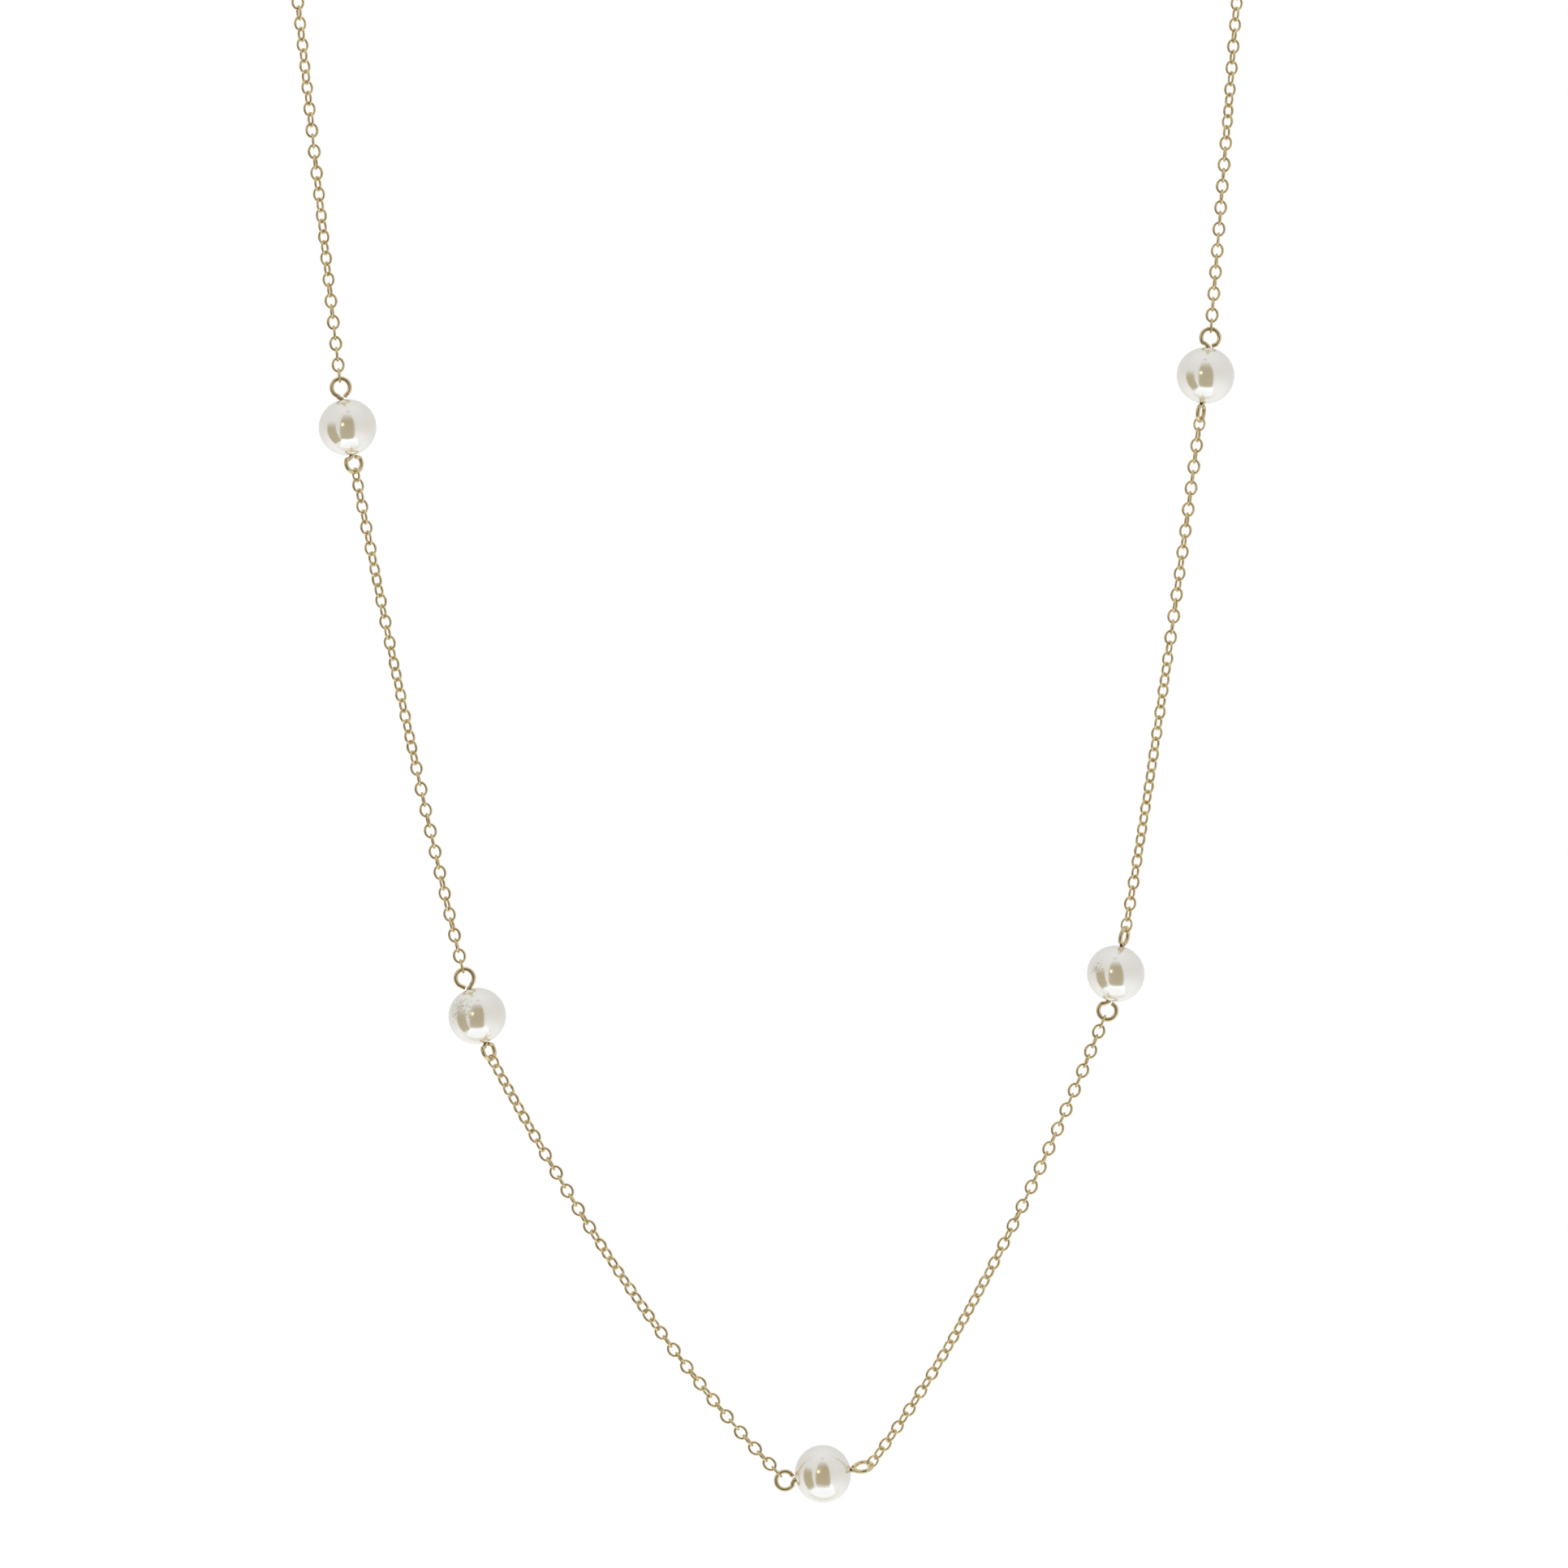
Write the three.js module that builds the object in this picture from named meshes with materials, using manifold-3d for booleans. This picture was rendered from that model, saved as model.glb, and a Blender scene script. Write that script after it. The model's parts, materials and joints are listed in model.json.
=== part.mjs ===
// A fine cable-chain necklace with five imitation pearls, as it hangs from the neck.
// Millimetres, +Z up. The front hangs in the plane y = 0 and the back goes round the neck towards +Y.
// The origin is midway between the two points where the sides of the neck carry the chain.
import * as THREE from 'three';
import { mergeVertices } from 'three/addons/utils/BufferGeometryUtils.js';
import Module from 'manifold-3d';

// ---- Driving dimensions ----

// Pearls, and the wire pins they turn on
const pearlWidth = 6.0;
const pearlLength = 5.84; // along the hole
const pearlHole = 0.8;
const pinWire = 0.46;
const loopRadius = 0.94; // to the middle of the wire

// Chain
const linkSize = { length: 1.66, width: 1.38, wire: 0.26 };
const play = 0.03; // air between two wires that hang in each other
const curvePlay = { tail: 0.1, hook: 0.4 }; // more air where a ring curves round something thick
const tubeGap = 0.3; // between solids that meet end to end

// Each station is a pearl on its pin. lean is the pin's angle from straight down. For the loop above
// (or on the left) and the one below (or on the right), reach is how far its centre is from the pearl's,
// and a turn of 0 or 180 shows its face to the front, 90 its edge.
const stations = {
  left_upper: { at: [-43.45, -60.5], lean: 9.8, reach: [4.2, 3.8], turns: [0, 35] },
  left_lower: { at: [-29.95, -121.8], lean: 18.2, reach: [4.15, 3.8], turns: [180, 55] },
  bottom: { at: [6.05, -169.5], lean: 99.9, reach: [4.0, 4.25], turns: [0, 65] },
  right_lower: { at: [36.55, -117.4], lean: -12.8, reach: [3.95, 3.95], turns: [65, 0] },
  right_upper: { at: [45.9, -55.1], lean: -7.2, reach: [3.95, 3.85], turns: [0, 68] },
};

// How far the middle of each front strand hangs below its straight line
const sags = {
  shoulder: 0.3,
  left_middle: 1.3,
  right_middle: 1.7,
  left_bottom: 2.9,
  right_bottom: 3.3,
};

// Half of the way round the neck, from the shoulder to the clasp. The other half mirrors it.
const neckRoute = [
  [-50.4, 0, 0],
  [-51.0, 0.7, 5.5],
  [-51.6, 4.2, 10.4],
  [-51.8, 10.0, 13.6],
  [-50.6, 17.5, 16.0],
  [-47.0, 26.0, 18.2],
  [-40.4, 33.8, 20.0],
  [-31.0, 40.4, 21.5],
  [-19.8, 44.6, 22.4],
  [-8.62, 46.2, 22.6],
];
const neckPieces = [0, 0.27, 0.62, 1]; // where each half is divided

// Lobster clasp, from the outside of its tail ring to the outside of its hook
const claspThickness = 2.0;
const tailThickness = 0.9;
const claspTail = { x: 1.3, radius: 1.3, hole: 0.6 };
const claspHook = { x: 8.0, outer: 2.1, inner: 1.2, tipAngle: 80 };
const claspPivot = { x: 4.0, z: 0.9 };
const rivetRadius = 0.3;
const rivetHole = 0.38;
const slotWidth = 1.5;
const leverThickness = 0.8;
const leverY = -0.25; // the lever's middle, so that the spring fits beside it
const spring = { radius: 0.55, wire: 0.16, y: 0.34, pitch: 0.2, turns: 1.5 };

// Jump rings and the extension chain
const tailRing = { radius: 1.425, wire: 0.55 };
const hookRing = { radius: 2.25, wire: 0.6 };
const extensionLink = { length: 3.4, width: 2.7, wire: 0.55 };
const extensionLinks = 9;
const endRing = { radius: 1.1, wire: 0.5 };
const tag = { length: 6.4, radius: 1.9, hole: 0.6, thickness: 0.5 };

// ---- Materials ----

const finish = (color, roughness, metalness) =>
  new THREE.MeshStandardMaterial({ color, roughness, metalness });
const materials = {
  pearl: () => finish(0xf3eee2, 0.22, 0.1),
  pin: () => finish(0xcaa868, 0.3, 1),
  chain: () => finish(0xdcc07e, 0.3, 1),
  clasp: () => finish(0xdcc07e, 0.26, 1),
  spring: () => finish(0xb9b9b6, 0.3, 1),
};

// ---- Helpers ----

const X = new THREE.Vector3(1, 0, 0);
const Y = new THREE.Vector3(0, 1, 0);
const Z = new THREE.Vector3(0, 0, 1);
const radians = THREE.MathUtils.degToRad;
const along = (point, direction, distance) => point.clone().addScaledVector(direction, distance);

const necklace = new THREE.Group();
necklace.name = 'pearl_necklace';
const pivots = {};

function place(name, geometry, material, position = new THREE.Vector3()) {
  const mesh = new THREE.Mesh(geometry, material);
  mesh.name = name;
  mesh.position.copy(position);
  necklace.add(mesh);
  return mesh;
}

function roundSection(radius, sides) {
  const points = [];
  for (let i = 0; i < sides; i++) {
    const angle = (2 * Math.PI * i) / sides;
    points.push(new THREE.Vector2(radius * Math.cos(angle), radius * Math.sin(angle)));
  }
  return new THREE.Shape(points);
}

// Two crossed ribs as wide as the links, so thin that a strand weighs what its links weigh.
function chainSection() {
  const { length, width, wire } = linkSize;
  const wireLength = (Math.PI * (length + width - 2 * wire)) / 2;
  const linkMetal = (wireLength * Math.PI * wire ** 2) / 4;
  const pitch = length - 2 * wire - play;
  const a = width / 2;
  const b = linkMetal / (pitch * width * 4);
  const corners = [
    [a, -b], [a, b], [b, b], [b, a], [-b, a], [-b, b],
    [-a, b], [-a, -b], [-b, -b], [-b, -a], [b, -a], [b, -b],
  ];
  return new THREE.Shape(corners.map(([x, y]) => new THREE.Vector2(x, y)));
}

function sweep(section, curve, steps) {
  return new THREE.ExtrudeGeometry(section, { steps, extrudePath: curve, bevelEnabled: false });
}

// A closed ring of wire in its own XY plane: a torus whose two halves are moved apart along Y.
function ringGeometry({ length, width, wire }, around = 16, sides = 6) {
  const geometry = new THREE.TorusGeometry((width - wire) / 2, wire / 2, sides, around);
  const position = geometry.attributes.position;
  const apart = (length - width) / 2;
  for (let i = 0; i < position.count; i++) {
    const y = position.getY(i);
    if (Math.abs(y) > 1e-6) position.setY(i, y + Math.sign(y) * apart);
  }
  return geometry;
}

// Puts a ring so that the wire of its near end is at nearWire and the ring goes on along direction.
function placeRing(name, size, nearWire, direction, normal, material, around = 16) {
  const half = (size.length - size.wire) / 2;
  const mesh = place(name, ringGeometry(size, around), material, along(nearWire, direction, half));
  const side = new THREE.Vector3().crossVectors(direction, normal).normalize();
  const flat = new THREE.Vector3().crossVectors(side, direction).normalize();
  const basis = new THREE.Matrix4().makeBasis(side, direction, flat);
  mesh.quaternion.setFromRotationMatrix(basis);
  return along(nearWire, direction, 2 * half);
}

const roundRing = ({ radius, wire }) => ({ length: 2 * radius + wire, width: 2 * radius + wire, wire });

// ---- Booleans ----

const wasm = await Module();
wasm.setup();

function solid(geometry) {
  const bare = geometry.index ? geometry.clone() : mergeVertices(geometry.clone());
  for (const name of Object.keys(bare.attributes)) {
    if (name !== 'position') bare.deleteAttribute(name);
  }
  const merged = mergeVertices(bare, 1e-4);
  return new wasm.Manifold(new wasm.Mesh({
    numProp: 3,
    vertProperties: new Float32Array(merged.attributes.position.array),
    triVerts: new Uint32Array(merged.index.array),
  }));
}

function geometryOf(manifold) {
  const mesh = manifold.getMesh();
  const geometry = new THREE.BufferGeometry();
  geometry.setAttribute('position', new THREE.BufferAttribute(mesh.vertProperties, 3));
  geometry.setIndex(new THREE.BufferAttribute(mesh.triVerts, 1));
  return geometry;
}

// A shape drawn in X and Z, with its thickness along Y about the given middle.
function plate(shape, thickness, middle = 0) {
  const geometry = new THREE.ExtrudeGeometry(shape, {
    depth: thickness, bevelEnabled: false, curveSegments: 8,
  });
  return geometry.rotateX(Math.PI / 2).translate(0, middle + thickness / 2, 0);
}

const rod = (radius, length, x, z, middle = 0) =>
  new THREE.CylinderGeometry(radius, radius, length, 16).translate(x, middle, z);

// ---- Pearls and pins ----

function pearlGeometry() {
  const holeAngle = Math.asin(pearlHole / pearlWidth);
  const arcSteps = 16;
  const profile = [];
  for (let i = 0; i <= arcSteps; i++) {
    const angle = holeAngle + ((Math.PI - 2 * holeAngle) * i) / arcSteps;
    profile.push(new THREE.Vector2(
      (pearlWidth / 2) * Math.sin(angle), (-pearlLength / 2) * Math.cos(angle),
    ));
  }
  profile.push(profile[0].clone());
  return new THREE.LatheGeometry(profile, 20).rotateX(Math.PI / 2);
}

// The wire starts at a loop's free end, goes round to the stem, through the pearl and round the other loop.
// Each loop narrows towards the pearl, where the stem bends into it out of the hole.
function pinCurve({ reach, turns }) {
  const loop = (i, outward) => {
    const side = new THREE.Vector3(Math.cos(radians(turns[i])), Math.sin(radians(turns[i])), 0);
    const at = (across, inward) => side.clone().multiplyScalar(across).setZ(outward * (reach[i] - inward));
    const mouth = reach[i] - pearlLength / 2 - 0.03;
    const open = Math.acos(Math.min(0.9, (mouth - 0.4) / loopRadius));
    const points = [at(0.28, mouth - 0.22)];
    for (let k = 0; k <= 10; k++) {
      const angle = open + ((2 * Math.PI - 2 * open) * k) / 10;
      points.push(at(loopRadius * Math.sin(angle), loopRadius * Math.cos(angle)));
    }
    return [...points, at(-0.45, mouth - 0.33), at(-0.12, mouth - 0.08)];
  };
  const stem = [2.74, 1.6, 0, -1.6, -2.74].map((z) => new THREE.Vector3(0, 0, z));
  const points = [...loop(0, 1), ...stem, ...loop(1, -1).reverse()];
  return new THREE.CatmullRomCurve3(points, false, 'centripetal');
}

// Where each station's two loops are. Loop 0 is nearer the left shoulder along the left side and the
// bottom, and nearer the right shoulder along the right side.
function loopsOf({ at, lean, reach, turns }) {
  const centre = new THREE.Vector3(at[0], 0, at[1]);
  const down = new THREE.Vector3(Math.sin(radians(lean)), 0, -Math.cos(radians(lean)));
  const side = new THREE.Vector3(Math.cos(radians(lean)), 0, Math.sin(radians(lean)));
  return [-1, 1].map((sign, i) => {
    const lateral = side.clone().multiplyScalar(Math.cos(radians(turns[i])));
    lateral.addScaledVector(Y, Math.sin(radians(turns[i])));
    const normal = new THREE.Vector3().crossVectors(lateral, down).normalize();
    const faceOn = Math.abs(Math.sin(radians(turns[i]))) < 0.7;
    return { centre: along(centre, down, sign * reach[i]), normal, faceOn };
  });
}

for (const [name, station] of Object.entries(stations)) {
  const group = new THREE.Group();
  group.position.set(station.at[0], 0, station.at[1]);
  group.rotation.y = -radians(station.lean);
  const pearl = new THREE.Mesh(pearlGeometry(), materials.pearl());
  pearl.name = `${name}_pearl`;
  const pin = new THREE.Mesh(
    sweep(roundSection(pinWire / 2, 6), pinCurve(station), 76), materials.pin(),
  );
  pin.name = `${name}_pin`;
  group.add(pearl, pin);
  necklace.add(group);
  station.loops = loopsOf(station);
  const spinAxis = new THREE.Vector3(Math.sin(radians(station.lean)), 0, -Math.cos(radians(station.lean)));
  pivots[`${name}_pearl_spin`] = { at: group.position.clone(), axis: spinAxis };
}

// ---- Chain strands ----

class HangingCurve extends THREE.Curve {
  constructor(start, end, sag) {
    super();
    Object.assign(this, { start, end, sag });
  }

  getPoint(t) {
    const point = this.start.clone().lerp(this.end, t);
    point.z -= 4 * this.sag * t * (1 - t);
    return point;
  }
}

class PartOfCurve extends THREE.Curve {
  constructor(whole, from, to) {
    super();
    Object.assign(this, { whole, from, to });
  }

  getPoint(t) {
    return this.whole.getPointAt(this.from + (this.to - this.from) * t);
  }
}

// A link hung in a pin's loop. Returns where the rest of the strand may start, and the pivot.
function hookLink(name, loop, direction) {
  const inPlane = along(direction, loop.normal, -direction.dot(loop.normal)).normalize();
  const contact = along(loop.centre, inPlane, loopRadius);
  const nearWire = along(contact, direction, -((pinWire + linkSize.wire) / 2 + play));
  const normal = new THREE.Vector3().crossVectors(direction, loop.normal);
  const farWire = placeRing(name, linkSize, nearWire, direction, normal, materials.chain(), 12);
  const pivot = loop.faceOn ? contact : nearWire;
  return { end: along(farWire, direction, linkSize.wire / 2 + tubeGap / 2), pivot };
}

// The directions in which a strand leaves its two ends.
function endDirections(from, to, sag) {
  const line = to.clone().sub(from);
  const drop = 4 * sag;
  const first = along(line, Z, -drop).normalize();
  const last = along(line, Z, drop).normalize().negate();
  return [first, last];
}

function strand(name, from, to, sag, steps) {
  place(name, sweep(chainSection(), new HangingCurve(from, to, sag), steps), materials.chain());
}

// A strand between the loops of two stations.
function stationStrand(name, upper, lower, sag) {
  const directions = endDirections(upper.centre, lower.centre, sag);
  const first = hookLink(`${name}_first_link`, upper, directions[0]);
  const last = hookLink(`${name}_last_link`, lower, directions[1]);
  strand(`${name}_strand`, first.end, last.end, sag, 16);
  return { first: first.pivot, last: last.pivot };
}

// The strand that hangs from the side of the neck, and the neck's own last link.
function shoulderStrand(side, loop) {
  const sign = side === 'left' ? 1 : -1;
  const shoulder = new THREE.Vector3(sign * neckRoute[0][0], 0, 0);
  const [down, up] = endDirections(shoulder, loop.centre, sags.shoulder);
  const far = placeRing(`${side}_shoulder_first_link`, linkSize, shoulder, down, Y, materials.chain(), 12);
  const last = hookLink(`${side}_shoulder_last_link`, loop, up);
  const start = along(far, down, linkSize.wire / 2 + tubeGap / 2);
  strand(`${side}_shoulder_strand`, start, last.end, sags.shoulder, 14);
  const inside = along(shoulder, down, linkSize.wire + play);
  const rise = down.clone().negate();
  const top = placeRing(`${side}_neck_first_link`, linkSize, inside, rise, X, materials.chain(), 12);
  return { first: shoulder, last: last.pivot, neckStart: along(top, rise, linkSize.wire / 2) };
}

const { left_upper, left_lower, bottom, right_lower, right_upper } = stations;
const leftShoulder = shoulderStrand('left', left_upper.loops[0]);
const rightShoulder = shoulderStrand('right', right_upper.loops[0]);
const leftMiddle = stationStrand('left_middle', left_upper.loops[1], left_lower.loops[0], sags.left_middle);
const rightMiddle = stationStrand('right_middle', right_upper.loops[1], right_lower.loops[0], sags.right_middle);
const leftBottom = stationStrand('left_bottom', left_lower.loops[1], bottom.loops[0], sags.left_bottom);
const rightBottom = stationStrand('right_bottom', right_lower.loops[1], bottom.loops[1], sags.right_bottom);

// Left and right pivots of one level lie on one straight line, which both sides swing about.
function level(name, left, right) {
  const axis = right.clone().sub(left).normalize();
  pivots[`left_${name}`] = { at: left.clone(), axis };
  pivots[`right_${name}`] = { at: right.clone(), axis };
}

level('shoulder_swing', leftShoulder.first, rightShoulder.first);
level('upper_pin_swing', leftShoulder.last, rightShoulder.last);
level('middle_swing', leftMiddle.first, rightMiddle.first);
level('lower_pin_swing', leftMiddle.last, rightMiddle.last);
level('bottom_swing', leftBottom.first, rightBottom.first);
level('end_line', leftBottom.last, rightBottom.last);

// ---- Round the neck ----

function neckStrands(side, shoulder) {
  const sign = side === 'left' ? 1 : -1;
  const points = neckRoute.map(([x, y, z]) => new THREE.Vector3(sign * x, y, z));
  const whole = new THREE.CatmullRomCurve3(points, false, 'centripetal');
  const length = whole.getLength();
  const linkShare = shoulder.neckStart.distanceTo(points[0]) / length;
  for (let i = 0; i + 1 < neckPieces.length; i++) {
    const from = i === 0 ? linkShare + tubeGap / length : neckPieces[i] + tubeGap / 2 / length;
    const to = neckPieces[i + 1] - (i + 2 < neckPieces.length ? tubeGap / 2 / length : 0);
    const curve = new PartOfCurve(whole, from, to);
    place(`${side}_neck_strand_${i + 1}`, sweep(chainSection(), curve, 10), materials.chain());
  }
  return length;
}

const neckHalfLength = neckStrands('left', leftShoulder);
neckStrands('right', rightShoulder);

// ---- Clasp and jump rings, in line along X at the nape ----

const [endX, napeY, napeZ] = neckRoute.at(-1);
const nape = (x) => new THREE.Vector3(x, napeY, napeZ);
const passing = (a, b) => (a + b) / 2 + play; // between the middles of two wires in each other

const leftLinkWire = endX + tubeGap / 2 + linkSize.wire / 2;
const leftLinkFar = placeRing('left_end_link', linkSize, nape(leftLinkWire), X, Y, materials.chain(), 12);
const tailRingWire = leftLinkFar.x - passing(linkSize.wire, tailRing.wire);
const tailRingFar = placeRing(
  'clasp_jump_ring', roundRing(tailRing), nape(tailRingWire), X, Z, materials.clasp(), 20,
);
const holeShift = claspTail.hole - tailRing.wire / 2 - curvePlay.tail;
const claspStart = tailRingFar.x + holeShift - claspTail.x;
const hookInside = claspStart + claspHook.x + claspHook.inner;
const hookRingWire = hookInside - hookRing.wire / 2 - curvePlay.hook;
const hookRingFar = placeRing(
  'extension_jump_ring', roundRing(hookRing), nape(hookRingWire), X, Z, materials.clasp(), 20,
);
const rightLinkWire = hookRingFar.x - passing(hookRing.wire, linkSize.wire);
placeRing('right_end_link', linkSize, nape(rightLinkWire), X, Y, materials.chain(), 12);

function claspBody() {
  const tip = radians(claspHook.tipAngle);
  const hook = new THREE.Shape();
  hook.moveTo(1.9, -0.95);
  hook.quadraticCurveTo(3.2, -2.1, 5.0, -claspHook.outer);
  hook.lineTo(claspHook.x, -claspHook.outer);
  hook.absarc(claspHook.x, 0, claspHook.outer, -Math.PI / 2, tip, false);
  hook.absarc(claspHook.x, 0, claspHook.inner, tip, -Math.PI / 2, true);
  hook.lineTo(5.7, -claspHook.inner);
  hook.quadraticCurveTo(4.95, -1.0, 4.9, 0);
  hook.lineTo(4.7, 1.55);
  hook.quadraticCurveTo(3.0, 1.9, 1.9, 0.95);
  hook.closePath();
  const tail = rod(claspTail.radius, tailThickness, claspTail.x, 0);
  const slot = new THREE.BoxGeometry(2.4, slotWidth, 4).translate(4.15, 0, 1.75);
  return solid(plate(hook, claspThickness))
    .add(solid(tail))
    .subtract(solid(rod(claspTail.hole, 3, claspTail.x, 0)))
    .subtract(solid(slot))
    .subtract(solid(rod(rivetHole, 3, claspPivot.x, claspPivot.z)));
}

function claspLever() {
  const arm = new THREE.Shape();
  arm.moveTo(3.35, 0.75);
  arm.quadraticCurveTo(3.2, 1.6, 3.45, 2.75);
  arm.quadraticCurveTo(3.9, 3.05, 4.4, 2.7);
  arm.quadraticCurveTo(4.6, 2.0, 5.4, 1.95);
  arm.lineTo(8.0, 2.05);
  arm.lineTo(7.9, 1.25);
  arm.quadraticCurveTo(6.0, 1.25, 4.75, 0.6);
  arm.quadraticCurveTo(4.0, -0.1, 3.35, 0.75);
  return solid(plate(arm, leverThickness, leverY))
    .subtract(solid(rod(rivetHole, 3, claspPivot.x, claspPivot.z)));
}

class SpringCurve extends THREE.Curve {
  getPoint(t) {
    const angle = 2 * Math.PI * spring.turns * t;
    return new THREE.Vector3(
      claspPivot.x + spring.radius * Math.cos(angle),
      spring.y + spring.pitch * spring.turns * t,
      claspPivot.z + spring.radius * Math.sin(angle),
    );
  }
}

const rivet = rod(rivetRadius, claspThickness, claspPivot.x, claspPivot.z);
const coil = sweep(roundSection(spring.wire / 2, 5), new SpringCurve(), 24);
place('clasp_body', geometryOf(claspBody()), materials.clasp(), nape(claspStart));
place('clasp_lever', geometryOf(claspLever()), materials.clasp(), nape(claspStart));
place('clasp_rivet', rivet, materials.clasp(), nape(claspStart));
place('clasp_spring', coil, materials.spring(), nape(claspStart));
pivots.clasp_roll = { at: nape(claspStart + claspTail.x), axis: X };
pivots.clasp_lever_press = {
  at: along(nape(claspStart + claspPivot.x), Z, claspPivot.z), axis: Y,
};

// ---- Extension chain, hanging from the back of its jump ring ----

const down = Z.clone().negate();
let hang = along(nape(hookRingWire + hookRing.radius), Y, hookRing.radius);
let hangWire = hookRing.wire;
for (let i = 1; i <= extensionLinks; i++) {
  const normal = i % 2 ? X : Y;
  const top = along(hang, Z, passing(hangWire, extensionLink.wire));
  pivots[`extension_${i}_swing`] = { at: hang, axis: normal };
  hang = placeRing(`extension_link_${i}`, extensionLink, top, down, normal, materials.chain());
  hangWire = extensionLink.wire;
}
pivots.end_ring_swing = { at: hang, axis: Y };
const ringTop = along(hang, Z, passing(hangWire, endRing.wire));
hang = placeRing('end_ring', roundRing(endRing), ringTop, down, Y, materials.clasp());

function tagGeometry() {
  const drop = new THREE.Shape();
  const low = tag.radius - tag.length;
  const rim = 1.1;
  drop.absarc(0, 0, rim, 0, Math.PI, false);
  const foot = { x: tag.radius * Math.cos(radians(162)), y: low + rim + tag.radius * Math.sin(radians(162)) };
  drop.quadraticCurveTo(-1.2, -0.95, foot.x, foot.y);
  drop.absarc(0, low + rim, tag.radius, radians(162), radians(378), false);
  drop.quadraticCurveTo(1.2, -0.95, rim, 0);
  const flat = solid(plate(drop, tag.thickness)).subtract(solid(rod(tag.hole, 2, 0, 0)));
  return geometryOf(flat).rotateZ(Math.PI / 2);
}

const tagCentre = along(hang, down, tag.hole - endRing.wire / 2 - curvePlay.tail);
place('end_tag', tagGeometry(), materials.clasp(), tagCentre);
pivots.end_tag_swing = { at: hang, axis: X };

necklace.userData = { pivots, neckHalfLength };
export default necklace;
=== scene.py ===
"""The looks of a fine cable-chain necklace with five imitation pearls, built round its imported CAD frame."""
import bmesh
import bpy
import json
import math
import random
import numpy as np
from mathutils import Matrix, Vector


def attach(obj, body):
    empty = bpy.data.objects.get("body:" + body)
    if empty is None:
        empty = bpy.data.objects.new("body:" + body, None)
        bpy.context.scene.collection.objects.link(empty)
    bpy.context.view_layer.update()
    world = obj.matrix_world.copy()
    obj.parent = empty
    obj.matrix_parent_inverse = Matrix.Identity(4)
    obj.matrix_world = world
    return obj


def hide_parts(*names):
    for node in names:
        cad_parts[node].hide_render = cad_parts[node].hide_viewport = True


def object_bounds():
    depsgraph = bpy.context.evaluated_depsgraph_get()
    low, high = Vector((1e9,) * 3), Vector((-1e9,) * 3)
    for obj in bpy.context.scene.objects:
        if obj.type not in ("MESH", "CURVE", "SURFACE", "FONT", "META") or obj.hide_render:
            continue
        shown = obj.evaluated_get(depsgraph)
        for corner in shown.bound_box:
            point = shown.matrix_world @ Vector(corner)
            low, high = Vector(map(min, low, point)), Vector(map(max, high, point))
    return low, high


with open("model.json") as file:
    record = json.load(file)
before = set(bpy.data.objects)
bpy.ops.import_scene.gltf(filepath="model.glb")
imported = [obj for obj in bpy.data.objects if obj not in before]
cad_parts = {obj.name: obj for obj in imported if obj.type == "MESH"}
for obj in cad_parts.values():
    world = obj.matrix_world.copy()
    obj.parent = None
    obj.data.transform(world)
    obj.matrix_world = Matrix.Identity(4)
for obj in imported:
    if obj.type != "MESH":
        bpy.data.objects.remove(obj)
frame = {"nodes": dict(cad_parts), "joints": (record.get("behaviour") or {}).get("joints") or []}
CAD_BOX = [list(corner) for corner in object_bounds()]
MM = 0.001

# ---- Sizes, as in the CAD model ----
LINK = {"length": 1.66 * MM, "width": 1.38 * MM, "wire": 0.26 * MM}
LINK_PLAY = 0.03 * MM
PIN_WIRE = 0.46 * MM
LOOP_RADIUS = 0.94 * MM
PEARL_ACROSS = 6.0 * MM
PEARL_ALONG = 5.84 * MM
PEARL_HOLE = 0.8 * MM
# How far each strand sags below a straight line, in millimetres
SAGS = {
    "left_shoulder": 0.3, "right_shoulder": 0.3,
    "left_middle": 1.3, "right_middle": 1.7,
    "left_bottom": 2.9, "right_bottom": 3.3,
}
# The way of the chain round the left side of the neck to the clasp, in millimetres
NECK_ROUTE = [
    (-50.4, 0, 0), (-51.0, 0.7, 5.5), (-51.6, 4.2, 10.4), (-51.8, 10.0, 13.6), (-50.6, 17.5, 16.0),
    (-47.0, 26.0, 18.2), (-40.4, 33.8, 20.0), (-31.0, 40.4, 21.5), (-19.8, 44.6, 22.4), (-8.62, 46.2, 22.6),
]
# How far each strand's links turn to and fro along it, in degrees, in how many waves, and the first's phase
TWISTS = {
    "left_shoulder": (38, 1.5, 0.9), "right_shoulder": (24, 2.0, 2.2),
    "left_middle": (30, 2.5, 0.2), "right_middle": (26, 2.0, 4.0),
    "left_bottom": (34, 2.0, 1.3), "right_bottom": (20, 1.5, 5.2),
    "left_neck": (30, 3.0, 0.5), "right_neck": (28, 3.5, 2.7),
}
# Each pin's two loops: how far their centres are from the pearl's, in millimetres, and how far they
# turn from face-on, in degrees
STATIONS = {
    "left_upper": ((4.2, 3.8), (0, 35)),
    "left_lower": ((4.15, 3.8), (180, 55)),
    "bottom": ((4.0, 4.25), (0, 65)),
    "right_lower": ((3.95, 3.95), (65, 0)),
    "right_upper": ((3.95, 3.85), (0, 68)),
}

# ---- Sizes that only the visual model has ----
# Wire against the CAD's, so that an end link and the loop that it hangs in have play to swing
END_LINK_THINNED = 0.86
PIN_THINNED = 0.96
# The cut ends of a pin against its wire, and how much thicker a link's wire is at its solder joint
PIN_END_TAPER = 0.86
SOLDER_SWELL = 0.12
# How far a pearl's hole is rounded at its mouths, and the share of its radius that its waves reach
PEARL_LIP = 0.07 * MM
PEARL_UNEVENNESS = 0.0012
# Where lacquer has worn off a pearl: the place from its centre and how far it reaches, in millimetres
WORN_SPOTS = {
    "left_lower": ((-1.75, -2.3, 0.8), 1.9),
    "right_lower": ((-2.1, -2.0, 0.6), 1.0),
}
WORN_SPECK = 0.22 * MM

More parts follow.
